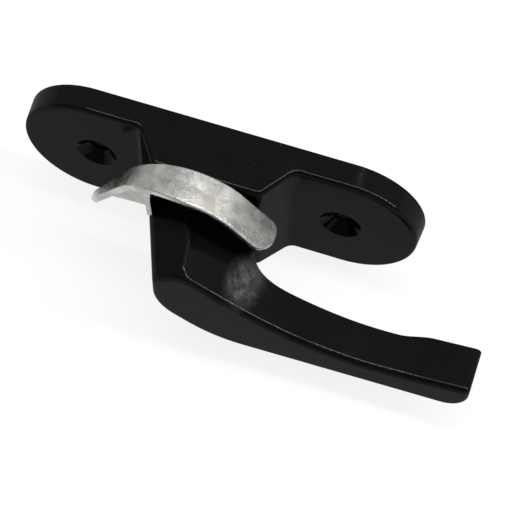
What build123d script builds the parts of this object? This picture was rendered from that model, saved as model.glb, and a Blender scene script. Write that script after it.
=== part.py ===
from build123d import *
import os
from math import cos, radians, sin, tan

# Crescent latch handle for a sliding window, sizes in millimetres.
# The mounting face lies in the plane y = 0, the front looks along -Y and the crescent bulges up along +Z.
# The pivot axis is the Y axis. A height is a distance from the mounting face towards the front.

# Base casting
base_length = 97.2
base_width = 35.0
lobe_height = 6.1
boss_height = 14.0
boss_top_width = 25.4
boss_wall_angle = 36.0
boss_foot_radius = 3.0
boss_shoulder_radius = 2.2
wall_draft = 4.5
rim_radius = 1.1
casting_wall = 2.4
boss_roof = 3.2
pocket_corner_radius = 2.0

# Countersunk screw holes
screw_spacing = 60.0
screw_hole_diameter = 5.0
countersink_diameter = 10.0
countersink_angle = 90.0
screw_boss_diameter = 13.0

# Pivot bearing and spindle
journal_diameter = 8.0
running_clearance = 0.05
bush_wall = 1.2
bush_seat_clearance = 0.02
bush_flange_diameter = 17.0
bush_flange_thickness = 1.3
bush_flange_recess = 0.6
flange_recess_clearance = 0.2
bearing_hub_diameter = 15.0
bearing_hub_back = 7.0
shank_across_flats = 6.0
shank_reach = 10.5
square_clearance = 0.05
tail_across_flats = 5.0
peened_head_diameter = 7.5
peened_head_height = 1.0

# Washers, index cam and leaf spring behind the boss
washer_diameter = 14.0
washer_hole_clearance = 0.3
spring_washer_height = 1.2
spring_washer_thickness = 0.5
rear_washer_thickness = 1.0
end_float = 0.1
cam_diameter = 13.0
cam_across_flats = 9.2
cam_thickness = 2.5
leaf_thickness = 0.5
leaf_gap = 0.05
leaf_leg = 4.0
rib_spacing = 15.8
rib_thickness = 1.8

# Crescent hook
web_thickness = 2.0
hook_radius = 18.4
hook_centre_x = -3.0
hook_centre_z = 2.3
hook_start_angle = 45.0
hook_end_angle = 148.0
heel_length = 11.5
tail_length = 16.8
band_thickness = 1.6
band_depth = 8.6
band_ramp_start_x = 0.4
band_ramp_mid_x = -17.2
band_ramp_mid_drop = 3.1
band_ramp_drop = 6.0
band_ramp_end_slope = 0.25
tip_radius = 1.2
heel_front_radius = 5.0
heel_back_radius = 2.5
band_edge_radius = 0.4
web_edge_z = 3.0
web_tail_length = 12.0
web_hub_diameter = 19.0
gusset_x = -11.2
gusset_thickness = 1.2
gusset_foot_z = 3.7
gusset_foot_rise = 3.7
gusset_top_height = 22.0
gusset_flare = 1.7
gusset_flare_height = 7.0
gusset_clearance = 0.1

# Handle lever
lever_front_height = 36.0
lever_tip_x = 69.3
lever_tip_top_z = -3.2
lever_underside_z = -12.7
underside_slope = 0.045
hub_crown_x = 2.1
hub_crown_z = 9.8
hub_left_x = -5.0
hub_left_z = 5.2
hub_lean_left = 7.9
crown_slope = 0.6
lever_neck_x = 19.0
lever_neck_z = 0.3
lever_waist_x = 42.0
lever_waist_z = -5.7
pad_top_slope = 0.13
hub_chin_x = 9.4
hub_cheek_z = -6.9
arm_back_height = 26.0
arm_back_x = 50.0
pad_back_height = 24.8
pad_start_x = 58.5
hub_back_x = 12.3
hub_back_slope = 3.3
arm_shoulder_x = 26.0
arm_shoulder_height = 25.8
arm_root_x = 16.0
arm_root_height = 23.7
rim_edge_radius = 1.4
hub_round_radius = 2.5
hub_cheek_radius = 10.0
chin_radius = 25.0
tip_corner_radius = 6.0

# How near an edge has to lie to a plane to count as being in it
tolerance = 0.001

# Heights and places that follow from the sizes above
lobe_radius = base_width / 2
boss_half_top = boss_top_width / 2
boss_half_foot = boss_half_top + (boss_height - lobe_height) * tan(radians(boss_wall_angle))
pocket_half_x = boss_half_top - casting_wall
pocket_half_z = lobe_radius - casting_wall - boss_height * tan(radians(wall_draft))
pocket_roof = boss_height - boss_roof
bush_bore = journal_diameter + 2 * running_clearance
bush_diameter = bush_bore + 2 * bush_wall
web_back = boss_height + bush_flange_thickness - bush_flange_recess + end_float
web_front = web_back + web_thickness
band_front = web_back + band_depth
shank_top = web_front + shank_reach
spring_washer_back = bearing_hub_back - spring_washer_height
rear_washer_back = spring_washer_back - rear_washer_thickness
cam_front = rear_washer_back - end_float
cam_back = cam_front - cam_thickness
cam_half_flats = cam_across_flats / 2
leaf_top_z = -cam_half_flats - leaf_gap
leaf_bottom_z = leaf_top_z - leaf_thickness
washer_hole_radius = journal_diameter / 2 + washer_hole_clearance
socket_across_flats = shank_across_flats + 2 * square_clearance
cam_hole_across_flats = tail_across_flats + 2 * square_clearance
hook_centre = (hook_centre_x, hook_centre_z)
hook_arc = hook_end_angle - hook_start_angle
band_inner_radius = hook_radius - band_thickness
band_middle_radius = hook_radius - band_thickness / 2
gusset_flare_z = hook_centre_z + band_inner_radius - gusset_flare_height
gusset_top_z = hook_centre_z + hook_radius

# The view from above: x to the right, height towards the front
plan_view = Plane(origin=(0, 0, 0), x_dir=(1, 0, 0), z_dir=(0, 0, -1))


def front_view(height):
    """The plane parallel to the mounting face at a height, seen from the front."""
    return Plane.XZ.offset(height)


def place(x, z, height):
    """A point from its place in the front view and its height."""
    return Vector(x, -height, z)


def plane_through(first, second, third):
    """The plane through three points, with its normal by the right-hand rule."""
    return Plane(origin=first, x_dir=second - first, z_dir=(second - first).cross(third - first))


def on_hook(radius, angle, beyond=0):
    """A point of the front view at an angle about the crescent's centre, moved on along the tangent."""
    across = cos(radians(angle))
    up = sin(radians(angle))
    return (hook_centre_x + radius * across - beyond * up, hook_centre_z + radius * up + beyond * across)


def crescent_line(radius):
    """The crescent's line at a radius: a straight heel, the arc and a straight tail. Gives both its ends."""
    heel_end = on_hook(radius, hook_start_angle, -heel_length)
    tail_end = on_hook(radius, hook_end_angle, tail_length)
    Line(heel_end, on_hook(radius, hook_start_angle))
    CenterArc(hook_centre, radius, hook_start_angle, hook_arc)
    Line(on_hook(radius, hook_end_angle), tail_end)
    return heel_end, tail_end


def underside_at(x):
    """The height in the front view of the lever's sloping underside."""
    return lever_underside_z - (lever_tip_x - x) * underside_slope


def lies_on(edge, *planes):
    """Whether an edge lies in any of the planes."""
    points = (edge @ 0, edge @ 0.5, edge @ 1)
    return any(all(abs(plane.to_local_coords(p).Z) < tolerance for p in points) for plane in planes)


def band_end_edges(band, band_end):
    """The edges that cross the band's thickness at one of its ends, from the front to the back."""

    def crosses(edge):
        centre = edge.center()
        return (centre - place(*band_end, -centre.Y)).length < band_thickness / 4

    return band.edges().filter_by(crosses).sort_by(Axis.Y)


def is_band_front(edge):
    """Whether an edge runs along the band's front rim."""
    return -edge.center().Y > band_tip_height and edge.length > 2 * band_thickness


# Base: a drafted slot outline cut to the stepped profile of two lobes and a raised boss, hollow at the back
with BuildPart() as base_body:
    with BuildSketch(front_view(0)):
        SlotOverall(base_length, base_width)
    extrude(amount=boss_height, taper=wall_draft)
    with BuildSketch(plan_view) as stepped_profile:
        with BuildLine():
            Polyline(
                (-base_length, 0),
                (base_length, 0),
                (base_length, lobe_height),
                (boss_half_foot, lobe_height),
                (boss_half_top, boss_height),
                (-boss_half_top, boss_height),
                (-boss_half_foot, lobe_height),
                (-base_length, lobe_height),
                close=True,
            )
        make_face()
        boss_corners = stepped_profile.vertices().filter_by(lambda v: abs(v.X) < base_length / 2)
        fillet(boss_corners.group_by(Axis.Y)[0], boss_foot_radius)
        shoulders = stepped_profile.vertices().group_by(Axis.Y)[-1]
        fillet(shoulders, boss_shoulder_radius)
    extrude(amount=base_width, both=True, mode=Mode.INTERSECT)
    across_front = base_body.edges().filter_by(Axis.Z, reverse=True)
    fillet([e for e in across_front if e.bounding_box().max.Y < tolerance - lobe_height], rim_radius)
    # Hollow back: a shallow pocket under the lobes and a deep one under the boss
    with BuildSketch(front_view(0)):
        SlotOverall(base_length - 2 * casting_wall, base_width - 2 * casting_wall)
        with Locations((-screw_spacing / 2, 0), (screw_spacing / 2, 0)):
            Circle(screw_boss_diameter / 2, mode=Mode.SUBTRACT)
    extrude(amount=lobe_height - casting_wall, mode=Mode.SUBTRACT)
    with BuildSketch(front_view(0)):
        RectangleRounded(2 * pocket_half_x, 2 * pocket_half_z, pocket_corner_radius)
    extrude(amount=pocket_roof, mode=Mode.SUBTRACT)
    with BuildSketch(front_view(bearing_hub_back)):
        Circle(bearing_hub_diameter / 2)
    extrude(amount=pocket_roof - bearing_hub_back)
    # Two ribs carry the leaf spring's ends
    with BuildSketch(front_view(cam_back)):
        for side in (-1, 1):
            with Locations((side * rib_spacing / 2, (leaf_bottom_z - pocket_half_z) / 2)):
                Rectangle(rib_thickness, pocket_half_z + leaf_bottom_z)
    extrude(amount=pocket_roof - cam_back)
    with BuildSketch(front_view(0)):
        Circle(bush_diameter / 2 + bush_seat_clearance)
    extrude(amount=boss_height, mode=Mode.SUBTRACT)
    with BuildSketch(front_view(boss_height - bush_flange_recess)):
        Circle(bush_flange_diameter / 2 + flange_recess_clearance)
    extrude(amount=bush_flange_recess, mode=Mode.SUBTRACT)
    with Locations(front_view(lobe_height)):
        with Locations((-screw_spacing / 2, 0), (screw_spacing / 2, 0)):
            CounterSinkHole(screw_hole_diameter / 2, countersink_diameter / 2, lobe_height, countersink_angle)

# Flanged bush: lines the bore, its flange carries the hook's web
with BuildPart() as flanged_bush:
    with BuildSketch(front_view(bearing_hub_back)):
        Circle(bush_diameter / 2)
    extrude(amount=boss_height - bush_flange_recess - bearing_hub_back)
    with BuildSketch(front_view(boss_height - bush_flange_recess)):
        Circle(bush_flange_diameter / 2)
    extrude(amount=bush_flange_thickness)
    with BuildSketch(front_view(bearing_hub_back)):
        Circle(bush_bore / 2)
    extrude(amount=boss_height, mode=Mode.SUBTRACT)

# Spindle: square shank in the lever and hook, round journal, square tail for the cam, peened end
with BuildPart() as pivot_spindle:
    with BuildSketch(front_view(web_back)):
        Rectangle(shank_across_flats, shank_across_flats)
    extrude(amount=shank_top - web_back)
    with BuildSketch(front_view(cam_front)):
        Circle(journal_diameter / 2)
    extrude(amount=web_back - cam_front)
    with BuildSketch(front_view(cam_back)):
        Rectangle(tail_across_flats, tail_across_flats)
    extrude(amount=cam_thickness)
    with BuildSketch(front_view(cam_back - peened_head_height)):
        Circle(peened_head_diameter / 2)
    extrude(amount=peened_head_height)
    fillet(pivot_spindle.edges().group_by(Axis.Y)[-1], peened_head_height / 2)

# Spring washer: a shallow cone that takes up the end float
with BuildPart() as spring_washer:
    with BuildSketch(Plane.XY):
        with BuildLine():
            Polyline(
                (washer_hole_radius, -bearing_hub_back),
                (washer_diameter / 2, -spring_washer_back - spring_washer_thickness),
                (washer_diameter / 2, -spring_washer_back),
                (washer_hole_radius, -bearing_hub_back + spring_washer_thickness),
                close=True,
            )
        make_face()
    revolve(axis=Axis.Y)

# Rear washer
with BuildPart() as rear_washer:
    with BuildSketch(front_view(rear_washer_back)):
        Circle(washer_diameter / 2)
        Circle(washer_hole_radius, mode=Mode.SUBTRACT)
    extrude(amount=rear_washer_thickness)

# Index cam: a disc with two flats that the leaf spring presses on, half a turn apart
with BuildPart() as index_cam:
    with BuildSketch(front_view(cam_back)):
        Circle(cam_diameter / 2)
        Rectangle(cam_diameter, cam_across_flats, mode=Mode.INTERSECT)
        Rectangle(cam_hole_across_flats, cam_hole_across_flats, mode=Mode.SUBTRACT)
    extrude(amount=cam_thickness)

# Leaf spring: a strip across both ribs with its ends folded down outside them
leaf_half_span = (rib_spacing + rib_thickness) / 2
with BuildPart() as detent_leaf:
    with BuildSketch(front_view(cam_back)):
        with BuildLine():
            Polyline(
                (-leaf_half_span, leaf_bottom_z - leaf_leg),
                (-leaf_half_span, leaf_bottom_z),
                (leaf_half_span, leaf_bottom_z),
                (leaf_half_span, leaf_bottom_z - leaf_leg),
                (leaf_half_span + leaf_thickness, leaf_bottom_z - leaf_leg),
                (leaf_half_span + leaf_thickness, leaf_top_z),
                (-leaf_half_span - leaf_thickness, leaf_top_z),
                (-leaf_half_span - leaf_thickness, leaf_bottom_z - leaf_leg),
                close=True,
            )
        make_face()
    extrude(amount=cam_thickness)

# The hub's sloping faces: an outline at the front that leans to the left towards the hook
hub_left_corner = place(hub_left_x, hub_left_z, lever_front_height)
hub_crown = place(hub_crown_x, hub_crown_z, lever_front_height)
hub_cheek = place(hub_left_x, hub_cheek_z, lever_front_height)
hub_chin = place(hub_chin_x, underside_at(hub_chin_x), lever_front_height)
hub_lean = place(-hub_lean_left, -hub_lean_left * underside_slope, web_front - lever_front_height)
crown_face = plane_through(hub_left_corner, hub_crown, hub_crown + hub_lean)
crown_far = hub_left_corner + (hub_crown - hub_left_corner).normalized() * 2 * lever_tip_x
underside_far = place(2 * lever_tip_x, underside_at(2 * lever_tip_x), lever_front_height)
hub_far_left = hub_left_x - 2 * hub_lean_left

# Handle lever: the front outline, cut to the plan outline and to the hub's sloping faces
with BuildPart() as handle_lever:
    with BuildSketch(front_view(web_front)) as lever_outline:
        with BuildLine():
            upper_start = (hub_far_left, hub_crown_z + (hub_crown_x - hub_far_left) * crown_slope)
            pad_top_start = (pad_start_x, lever_tip_top_z - (lever_tip_x - pad_start_x) * pad_top_slope)
            Line(upper_start, (hub_crown_x, hub_crown_z))
            Spline(
                (hub_crown_x, hub_crown_z),
                (lever_neck_x, lever_neck_z),
                (lever_waist_x, lever_waist_z),
                pad_top_start,
                tangents=((1, -crown_slope), (1, pad_top_slope)),
            )
            Line(pad_top_start, (lever_tip_x, lever_tip_top_z))
            Line((lever_tip_x, lever_tip_top_z), (lever_tip_x, lever_underside_z))
            Line((lever_tip_x, lever_underside_z), (hub_far_left, underside_at(hub_far_left)))
            Line((hub_far_left, underside_at(hub_far_left)), upper_start)
        make_face()
        tip_corner = lever_outline.vertices().sort_by_distance((lever_tip_x, lever_underside_z))[0]
        fillet(tip_corner, tip_corner_radius)
    extrude(amount=lever_front_height - web_front)
    with BuildSketch(plan_view):
        with BuildLine():
            Line((hub_far_left, web_front), (hub_far_left, lever_front_height))
            Line((hub_far_left, lever_front_height), (lever_tip_x, lever_front_height))
            Line((lever_tip_x, lever_front_height), (lever_tip_x, pad_back_height))
            Line((lever_tip_x, pad_back_height), (pad_start_x, pad_back_height))
            Spline(
                (pad_start_x, pad_back_height),
                (arm_back_x, arm_back_height),
                tangents=((-1, 0), (-1, 0)),
            )
            Spline(
                (arm_back_x, arm_back_height),
                (arm_shoulder_x, arm_shoulder_height),
                (arm_root_x, arm_root_height),
                (hub_back_x, web_front),
                tangents=((-1, 0), (-1, -hub_back_slope)),
            )
            Line((hub_back_x, web_front), (hub_far_left, web_front))
        make_face()
    extrude(amount=base_width, both=True, mode=Mode.INTERSECT)
    with BuildSketch(front_view(lever_front_height)) as hub_limit:
        with BuildLine():
            Polyline(
                (hub_left_corner.X, hub_left_corner.Z),
                (crown_far.X, crown_far.Z),
                (underside_far.X, underside_far.Z),
                (hub_chin.X, hub_chin.Z),
                (hub_cheek.X, hub_cheek.Z),
                close=True,
            )
        make_face()
        fillet(hub_limit.vertices().sort_by_distance((hub_left_x, hub_left_z))[0], hub_round_radius)
        fillet(hub_limit.vertices().sort_by_distance((hub_left_x, hub_cheek_z))[0], hub_cheek_radius)
        fillet(hub_limit.vertices().sort_by_distance((hub_chin.X, hub_chin.Z))[0], chin_radius)
    extrude(amount=hub_lean.length, dir=hub_lean, mode=Mode.INTERSECT)
    # Socket for the spindle's square shank
    with BuildSketch(front_view(web_front)):
        Rectangle(socket_across_flats, socket_across_flats)
    extrude(amount=shank_reach + square_clearance, mode=Mode.SUBTRACT)
    # Edges: the rolled front rim, the tip's upper edge and the crown line
    front_rim = handle_lever.edges().group_by(Axis.Y)[0]
    tip_top = handle_lever.faces().sort_by(Axis.X)[-1].edges().sort_by(Axis.Z)[-1]
    crown_edges = ShapeList(e for e in handle_lever.edges() if lies_on(e, crown_face))
    crown_line = crown_edges.filter_by(lambda e: e.bounding_box().size.Y > shank_reach).sort_by(Axis.X)[-1]
    fillet([*front_rim, tip_top, crown_line], rim_edge_radius)

# Gusset between the web and the band, flared where it meets the band
with BuildPart() as gusset:
    with BuildSketch(front_view(web_front)):
        with BuildLine():
            for side in (-1, 1):
                foot = (gusset_x + side * gusset_thickness / 2, gusset_foot_z)
                neck = (gusset_x + side * gusset_thickness / 2, gusset_flare_z)
                flare_end = (gusset_x + side * (gusset_thickness / 2 + gusset_flare), gusset_top_z)
                Line(foot, neck)
                TangentArc(neck, flare_end, tangent=(0, 1))
                Line(flare_end, (gusset_x, gusset_top_z))
                Line(foot, (gusset_x, gusset_foot_z))
        make_face()
        with Locations(hook_centre):
            Circle(band_middle_radius, mode=Mode.INTERSECT)
    extrude(amount=band_front - web_front)
    with BuildSketch(Plane.YZ.offset(gusset_x)):
        with BuildLine():
            Polyline(
                (-web_front, gusset_foot_z),
                (-web_front - gusset_foot_rise, gusset_foot_z),
                (-gusset_top_height, gusset_top_z),
                (-web_front, gusset_top_z),
                close=True,
            )
        make_face()
    extrude(amount=gusset_flare + gusset_thickness, both=True, mode=Mode.INTERSECT)
    split(bisect_by=crown_face.offset(gusset_clearance), keep=Keep.TOP)

# Crescent hook: a flat web under the lever with a curved band standing forward along its rim
band_heel = on_hook(band_middle_radius, hook_start_angle, -heel_length)
band_tail = on_hook(band_middle_radius, hook_end_angle, tail_length)
band_tip_height = band_front - band_ramp_drop
hook_tip_x = on_hook(hook_radius, hook_end_angle, tail_length)[0]

with BuildPart() as crescent_hook:
    # Band along the rim, its front edge sweeping down towards the tip
    with BuildSketch(front_view(web_back)):
        with BuildLine():
            outer_ends = crescent_line(hook_radius)
            inner_ends = crescent_line(band_inner_radius)
            for outer_end, inner_end in zip(outer_ends, inner_ends):
                Line(outer_end, inner_end)
        make_face()
    extrude(amount=band_depth)
    with BuildSketch(plan_view):
        with BuildLine():
            ramp = Spline(
                (band_ramp_start_x, band_front),
                (band_ramp_mid_x, band_front - band_ramp_mid_drop),
                (hook_tip_x, band_tip_height),
                tangents=((-1, 0), (-1, -band_ramp_end_slope)),
            )
            Polyline(ramp @ 1, (hook_tip_x, band_front), ramp @ 0)
        make_face()
    extrude(amount=base_width, both=True, mode=Mode.SUBTRACT)
    fillet(band_end_edges(crescent_hook, band_tail), tip_radius)
    fillet(band_end_edges(crescent_hook, band_heel)[0], heel_front_radius)
    fillet(band_end_edges(crescent_hook, band_heel)[-1], heel_back_radius)
    fillet(crescent_hook.edges().filter_by(is_band_front), band_edge_radius)
    # Web under the lever, ending before the heel
    with BuildSketch(front_view(web_back)):
        with BuildLine():
            web_rim = CenterArc(hook_centre, band_middle_radius, hook_start_angle, hook_arc)
            web_end = on_hook(band_middle_radius, hook_end_angle, web_tail_length)
            Polyline(web_rim @ 1, web_end, (0, web_edge_z), web_rim @ 0)
        make_face()
        Circle(web_hub_diameter / 2)
        Rectangle(socket_across_flats, socket_across_flats, mode=Mode.SUBTRACT)
    extrude(amount=web_thickness)
    add(gusset.part)

subparts = {
    "base_body": base_body,
    "flanged_bush": flanged_bush,
    "pivot_spindle": pivot_spindle,
    "spring_washer": spring_washer,
    "rear_washer": rear_washer,
    "index_cam": index_cam,
    "detent_leaf": detent_leaf,
    "handle_lever": handle_lever,
    "crescent_hook": crescent_hook,
}
os.makedirs("parts", exist_ok=True)
for name, builder in subparts.items():
    builder.part.label = name
    export_step(builder.part, f"parts/{name}.step")
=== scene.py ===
from math import cos, pi, radians, sin

import bpy
from mathutils import Matrix, Vector


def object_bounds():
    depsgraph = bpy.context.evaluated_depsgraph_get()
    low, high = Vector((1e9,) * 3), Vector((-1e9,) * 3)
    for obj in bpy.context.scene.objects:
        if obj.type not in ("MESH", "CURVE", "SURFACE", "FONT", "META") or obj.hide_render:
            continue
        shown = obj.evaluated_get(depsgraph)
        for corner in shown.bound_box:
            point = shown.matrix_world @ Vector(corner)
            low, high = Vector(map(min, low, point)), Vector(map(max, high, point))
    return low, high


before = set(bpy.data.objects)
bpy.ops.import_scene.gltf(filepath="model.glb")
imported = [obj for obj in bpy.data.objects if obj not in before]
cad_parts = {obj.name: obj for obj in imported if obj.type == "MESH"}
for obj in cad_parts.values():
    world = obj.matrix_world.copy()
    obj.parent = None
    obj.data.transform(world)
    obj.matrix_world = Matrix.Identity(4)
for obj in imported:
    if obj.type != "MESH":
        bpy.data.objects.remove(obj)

# The looks of a crescent latch handle for a sliding window, in metres.
# The mounting face lies in the plane y = 0, the front looks along -Y and the crescent bulges up along +Z.

cad_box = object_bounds()
cad_low, cad_high = cad_box
millimetre = 0.001

# Camera at the photograph's viewing angle, with angles in degrees
camera_azimuth = 16.58
camera_elevation = 61.83
camera_roll = 2.04
camera_distance = 0.38548
camera_target = Vector((0.01532, -0.02056, -0.00054))
camera_lens = 117.01
camera_sensor = 36.0
camera_clip = 10 * millimetre

# Most values of a noise lie between these two
noise_low = 0.3
noise_high = 0.7

# A scattered point shows its spot in full from this random value on
spot_full = 0.7

# Black coat
coat_dark = (0.0020, 0.0020, 0.0023, 1)
coat_pale = (0.0032, 0.0032, 0.0036, 1)
coat_gloss = 0.17
coat_roughness = 0.115

# Painted highlight on top of the lever's root: a pale patch of colour put where a lamp's reflection falls
painted_highlight_colour = (0.115, 0.114, 0.109, 1)
painted_highlight_centre = Vector((14.0, -29.0, 2.7)) * millimetre
painted_highlight_reach = Vector((5.0, 8.0, 6.0)) * millimetre

# Bare casting
casting_dark = (0.30, 0.30, 0.293, 1)
casting_pale = (0.48, 0.477, 0.455, 1)
casting_rubbed = (0.54, 0.53, 0.48, 1)
pit_colour = (0.10, 0.10, 0.095, 1)

# Inner pieces
zinc_dark = (0.52, 0.53, 0.56, 1)
zinc_pale = (0.66, 0.67, 0.69, 1)
spring_dark = (0.20, 0.21, 0.25, 1)
spring_pale = (0.34, 0.34, 0.36, 1)
nylon_dark = (0.66, 0.63, 0.55, 1)
nylon_pale = (0.76, 0.74, 0.67, 1)
rolling_stretch = (0.06, 1, 1)

# Studio
pure_white = (1, 1, 1, 1)
floor_gap = 0.4 * millimetre
floor_size = 4.0
floor_colour = (0.90, 0.90, 0.89, 1)
floor_whiteness = 0.86
bright_side = (180, 30)
bright_edge = 0.55
bright_light = 0.72
dim_light = 0.20
horizon_light = 1.0
horizon_top = 0.17
horizon_fade = 0.35
softbox_distance = 0.6


def direction(azimuth, elevation):
    """The unit vector that points from the object to a place around it, azimuth 0 being the front."""
    level = cos(radians(elevation))
    return Vector((
        sin(radians(azimuth)) * level,
        -cos(radians(azimuth)) * level,
        sin(radians(elevation)),
    ))


def connect(tree, value, socket):
    """Gives a socket a plain value, or links another node's socket to it."""
    if isinstance(value, bpy.types.NodeSocket):
        tree.links.new(value, socket)
    else:
        socket.default_value = value


def add_node(tree, kind, inputs=None, **settings):
    """A node with its settings and inputs, where an input is a value or another node's socket."""
    node = tree.nodes.new(kind)
    for name, value in settings.items():
        setattr(node, name, value)
    for name, value in (inputs or {}).items():
        connect(tree, value, node.inputs[name])
    return node


def noise(tree, place, size, detail=2.0, roughness=0.5):
    """Cloudy noise from 0 to 1 whose lumps are about as large as size."""
    inputs = {"Vector": place, "Scale": 1 / size, "Detail": detail, "Roughness": roughness}
    return add_node(tree, "ShaderNodeTexNoise", inputs).outputs["Fac"]


def remap(tree, value, low, high, out_low=0.0, out_high=1.0):
    """Carries the range low to high over to out_low to out_high, and holds the ends."""
    inputs = {"Value": value, "From Min": low, "From Max": high, "To Min": out_low, "To Max": out_high}
    return add_node(tree, "ShaderNodeMapRange", inputs).outputs["Result"]


def combine(tree, operation, first, second):
    """One arithmetic step on two values."""
    node = add_node(tree, "ShaderNodeMath", {0: first, 1: second}, operation=operation)
    return node.outputs["Value"]


def blend_colours(tree, factor, first, second):
    """The first colour where factor is 0, the second where it is 1."""
    node = add_node(tree, "ShaderNodeMix", data_type="RGBA")
    wanted = {"Factor_Float": factor, "A_Color": first, "B_Color": second}
    for socket in node.inputs:
        if socket.identifier in wanted:
            connect(tree, wanted[socket.identifier], socket)
    return next(socket for socket in node.outputs if socket.identifier == "Result_Color")


def spots(tree, place, size, core, edge, rarity):
    """Round spots on some of a scatter of points about size apart: 1 in the core and 0 past the edge."""
    cells = add_node(tree, "ShaderNodeTexVoronoi", {"Vector": place, "Scale": 1 / size})
    disc = remap(tree, cells.outputs["Distance"], core, edge, 1, 0)
    chosen = remap(tree, cells.outputs["Color"], rarity, spot_full)
    return combine(tree, "MULTIPLY", disc, chosen)


def near(tree, place, centre, reach):
    """1 at a centre, falling to 0 at its reach along the three axes."""
    offset = add_node(tree, "ShaderNodeVectorMath", {0: place, 1: centre}, operation="SUBTRACT")
    inputs = {0: offset.outputs["Vector"], 1: reach}
    share = add_node(tree, "ShaderNodeVectorMath", inputs, operation="DIVIDE")
    far = add_node(tree, "ShaderNodeVectorMath", {0: share.outputs["Vector"]}, operation="LENGTH")
    return remap(tree, far.outputs["Value"], 0, 1, 1, 0)


def bump(tree, height, depth, below=None):
    """Tilts the surface by a height from 0 to 1 that stands for a depth in metres."""
    inputs = {"Height": height, "Distance": depth, "Strength": 1.0}
    if below is not None:
        inputs["Normal"] = below
    return add_node(tree, "ShaderNodeBump", inputs).outputs["Normal"]


def start_material(name):
    """A new material: itself, its node tree, its shader and the place on the object."""
    material = bpy.data.materials.new(name)
    material.use_nodes = True
    tree = material.node_tree
    shader = tree.nodes["Principled BSDF"]
    place = add_node(tree, "ShaderNodeTexCoord").outputs["Object"]
    return material, tree, shader, place


def cloud_over(tree, shader, cloud, dark, pale, smooth, rough):
    """Lets a cloud of noise carry the colour from dark to pale and the roughness from smooth to rough."""
    share = remap(tree, cloud, noise_low, noise_high)
    connect(tree, blend_colours(tree, share, dark, pale), shader.inputs["Base Color"])
    connect(tree, remap(tree, cloud, noise_low, noise_high, smooth, rough), shader.inputs["Roughness"])


def make_black_coat():
    """Black stoved coat: semi-gloss, with faint orange peel, a few nibs and a painted highlight on the
    lever's root, a pale patch of colour standing in for a lamp's reflection.
    """
    material, tree, shader, place = start_material("black_coat_finish")
    cloud = noise(tree, place, size=9 * millimetre, detail=4)
    colour = blend_colours(tree, remap(tree, cloud, 0.35, 0.65), coat_dark, coat_pale)
    # The pale patch on the lever's root is a painted highlight, broken up by fine noise
    highlight_grain = remap(tree, noise(tree, place, size=1.1 * millimetre, detail=6, roughness=0.75), 0.32, 0.66)
    patches = noise(tree, place, size=3 * millimetre, detail=4)
    ragged = remap(tree, patches, noise_low, noise_high, 0.4, 1.3)
    patch = combine(tree, "MULTIPLY", near(tree, place, painted_highlight_centre, painted_highlight_reach), ragged)
    rub_wear_and_painted_highlight = combine(tree, "MULTIPLY", patch, highlight_grain)
    connect(tree, blend_colours(tree, rub_wear_and_painted_highlight, colour, painted_highlight_colour), shader.inputs["Base Color"])
    peel = bump(tree, noise(tree, place, size=1.4 * millimetre, detail=1), depth=0.012 * millimetre)
    fine = noise(tree, place, size=0.25 * millimetre, detail=2)
    grain = bump(tree, fine, depth=0.004 * millimetre, below=peel)
    nibs = spots(tree, place, size=3.2 * millimetre, core=0.0, edge=0.06, rarity=0.6)
    surface = bump(tree, nibs, depth=0.06 * millimetre, below=grain)
    connect(tree, surface, shader.inputs["Normal"])
    connect(tree, surface, shader.inputs["Coat Normal"])
    connect(tree, 0.0, shader.inputs["Specular IOR Level"])
    connect(tree, coat_gloss, shader.inputs["Coat Weight"])
    connect(tree, coat_roughness, shader.inputs["Coat Roughness"])
    return material


def make_bare_casting():
    """Bare die casting: pale grey metal, mottled and granular, with rubbed patches and small pits."""
    material, tree, shader, place = start_material("bare_casting_finish")
    mottle = noise(tree, place, size=2.6 * millimetre, detail=6, roughness=0.65)
    grain = noise(tree, place, size=0.35 * millimetre, detail=3, roughness=0.7)
    # Random paler, smoother patches of rub wear on the casting
    rub_wear_and_painted_highlight = remap(tree, noise(tree, place, size=7 * millimetre, detail=3), 0.48, 0.62)
    coarse_share = remap(tree, mottle, 0.35, 0.65, 0, 0.6)
    fine_share = remap(tree, grain, 0.35, 0.65, 0, 0.4)
    speckle = combine(tree, "ADD", coarse_share, fine_share)
    plain = blend_colours(tree, speckle, casting_dark, casting_pale)
    colour = blend_colours(tree, rub_wear_and_painted_highlight, plain, casting_rubbed)
    pits = spots(tree, place, size=1.6 * millimetre, core=0.05, edge=0.12, rarity=0.62)
    connect(tree, blend_colours(tree, pits, colour, pit_colour), shader.inputs["Base Color"])
    connect(tree, 1.0, shader.inputs["Metallic"])
    cloudy = remap(tree, mottle, noise_low, noise_high, 0.19, 0.29)
    polished = remap(tree, rub_wear_and_painted_highlight, 0, 1, 0.04, -0.06)
    connect(tree, combine(tree, "ADD", cloudy, polished), shader.inputs["Roughness"])
    waves = bump(tree, mottle, depth=0.10 * millimetre)
    grainy = bump(tree, grain, depth=0.05 * millimetre, below=waves)
    sunk = combine(tree, "SUBTRACT", 1.0, pits)
    connect(tree, bump(tree, sunk, depth=0.08 * millimetre, below=grainy), shader.inputs["Normal"])
    return material


def make_plated_steel():
    """Zinc-plated steel: pale and slightly blue, with a soft crystalline cloud."""
    material, tree, shader, place = start_material("plated_steel_finish")
    cloud = noise(tree, place, size=1.5 * millimetre, detail=5)
    cloud_over(tree, shader, cloud, zinc_dark, zinc_pale, smooth=0.26, rough=0.42)
    connect(tree, 1.0, shader.inputs["Metallic"])
    fine = noise(tree, place, size=0.2 * millimetre, detail=2)
    connect(tree, bump(tree, fine, depth=0.008 * millimetre), shader.inputs["Normal"])
    return material


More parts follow.
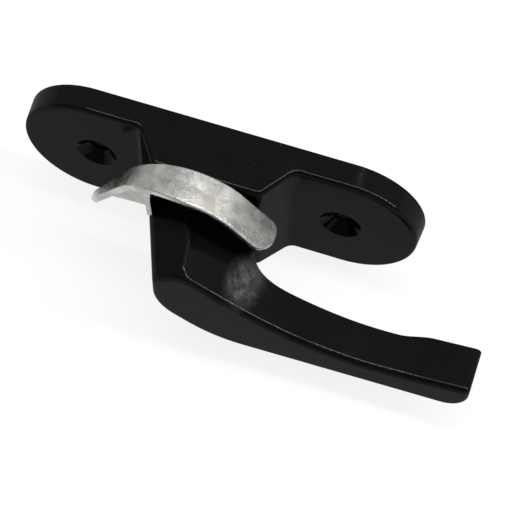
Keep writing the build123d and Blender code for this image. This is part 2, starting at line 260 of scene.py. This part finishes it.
def make_spring_steel():
    """Tempered spring steel: dark and faintly blue, with rolling streaks along X."""
    material, tree, shader, place = start_material("spring_steel_finish")
    stretch = add_node(tree, "ShaderNodeVectorMath", {0: place, 1: rolling_stretch}, operation="MULTIPLY")
    streak = noise(tree, stretch.outputs["Vector"], size=0.3 * millimetre, detail=4)
    cloud_over(tree, shader, streak, spring_dark, spring_pale, smooth=0.22, rough=0.36)
    connect(tree, 1.0, shader.inputs["Metallic"])
    connect(tree, bump(tree, streak, depth=0.006 * millimetre), shader.inputs["Normal"])
    return material


def make_nylon():
    """Natural nylon: warm white, slightly waxy, with faint flow marks."""
    material, tree, shader, place = start_material("nylon_finish")
    flow = noise(tree, place, size=3 * millimetre, detail=3)
    cloud_over(tree, shader, flow, nylon_dark, nylon_pale, smooth=0.38, rough=0.52)
    connect(tree, bump(tree, flow, depth=0.02 * millimetre), shader.inputs["Normal"])
    return material


def dress_nodes():
    """Gives every piece the finish named by its first material slot."""
    finishes = {
        "black_coat": make_black_coat(),
        "bare_casting": make_bare_casting(),
        "plated_steel": make_plated_steel(),
        "spring_steel": make_spring_steel(),
        "nylon": make_nylon(),
    }
    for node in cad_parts.values():
        slot = node.material_slots[0].material.name.split(".")[0]
        node.material_slots[0].material = finishes[slot]


def background_rays(tree):
    """1 for the rays that look straight at a surface, in a mirror or through glass, otherwise 0."""
    path = add_node(tree, "ShaderNodeLightPath").outputs
    seen = combine(tree, "MAXIMUM", path["Is Camera Ray"], path["Is Glossy Ray"])
    return combine(tree, "MAXIMUM", seen, path["Is Transmission Ray"])


def make_floor():
    """A plain pale floor below the hook's lowest place in half a turn, white with a faint shadow."""
    half = floor_size / 2
    height = min(cad_low.z, -cad_high.z) - floor_gap
    corners = [
        (-half, -half, height),
        (half, -half, height),
        (half, half, height),
        (-half, half, height),
    ]
    mesh = bpy.data.meshes.new("floor")
    mesh.from_pydata(corners, [], [(0, 1, 2, 3)])
    floor = bpy.data.objects.new("floor", mesh)
    bpy.context.scene.collection.objects.link(floor)
    material = bpy.data.materials.new("pale_floor")
    material.use_nodes = True
    tree = material.node_tree
    tree.nodes.clear()
    matt = add_node(tree, "ShaderNodeBsdfDiffuse", {"Color": floor_colour}).outputs["BSDF"]
    glow = add_node(tree, "ShaderNodeEmission", {"Color": pure_white, "Strength": 1.0}).outputs["Emission"]
    share = combine(tree, "MULTIPLY", background_rays(tree), floor_whiteness)
    mixed = add_node(tree, "ShaderNodeMixShader", {0: share, 1: matt, 2: glow}).outputs["Shader"]
    add_node(tree, "ShaderNodeOutputMaterial", {"Surface": mixed})
    mesh.materials.append(material)


def make_world():
    """Soft studio surroundings: white at the horizon, bright behind the object and dim in front of it."""
    world = bpy.data.worlds.new("studio")
    bpy.context.scene.world = world
    world.use_nodes = True
    tree = world.node_tree
    tree.nodes.clear()
    place = add_node(tree, "ShaderNodeTexCoord").outputs["Generated"]
    towards = direction(*bright_side)
    facing = add_node(tree, "ShaderNodeVectorMath", {0: place, 1: towards}, operation="DOT_PRODUCT")
    dome = remap(tree, facing.outputs["Value"], 0, bright_edge, dim_light, bright_light)
    height = add_node(tree, "ShaderNodeSeparateXYZ", {"Vector": place}).outputs["Z"]
    horizon = remap(tree, height, horizon_top, horizon_fade, horizon_light, 0)
    level = combine(tree, "MAXIMUM", dome, horizon)
    light = add_node(tree, "ShaderNodeBackground", {"Color": pure_white, "Strength": level})
    add_node(tree, "ShaderNodeOutputWorld", {"Surface": light.outputs["Background"]})


def add_softbox(name, azimuth, elevation, width, height, radiance):
    """A lamp that looks at the object, as bright as its face's radiance says."""
    lamp = bpy.data.lights.new(name, "AREA")
    lamp.shape = "RECTANGLE"
    lamp.size = width
    lamp.size_y = height
    lamp.energy = radiance * pi * width * height
    softbox = bpy.data.objects.new(name, lamp)
    bpy.context.scene.collection.objects.link(softbox)
    towards = direction(azimuth, elevation)
    softbox.location = camera_target + towards * softbox_distance
    softbox.rotation_mode = "QUATERNION"
    softbox.rotation_quaternion = (-towards).to_track_quat("-Z", "Y")


def make_camera():
    """The camera at the photograph's place, turned about its own axis as the photograph is."""
    lens = bpy.data.cameras.new("camera")
    lens.lens = camera_lens
    lens.sensor_width = camera_sensor
    lens.clip_start = camera_clip
    camera = bpy.data.objects.new("camera", lens)
    bpy.context.scene.collection.objects.link(camera)
    back = direction(camera_azimuth, camera_elevation)
    upright = (-back).to_track_quat("-Z", "Y").to_matrix().to_4x4()
    place = Matrix.Translation(camera_target + back * camera_distance)
    camera.matrix_world = place @ upright @ Matrix.Rotation(radians(camera_roll), 4, "Z")
    bpy.context.scene.camera = camera


dress_nodes()
make_floor()
make_world()
add_softbox("overhead_strip", azimuth=180, elevation=84, width=0.50, height=0.045, radiance=26)
add_softbox("right_strip", azimuth=95, elevation=45, width=0.045, height=0.45, radiance=34)
add_softbox("right_window", azimuth=127.6, elevation=38.3, width=0.05, height=0.05, radiance=7)
add_softbox("rear_card", azimuth=153, elevation=70, width=0.12, height=0.05, radiance=6)
make_camera()
bpy.context.scene.view_settings.view_transform = "Standard"
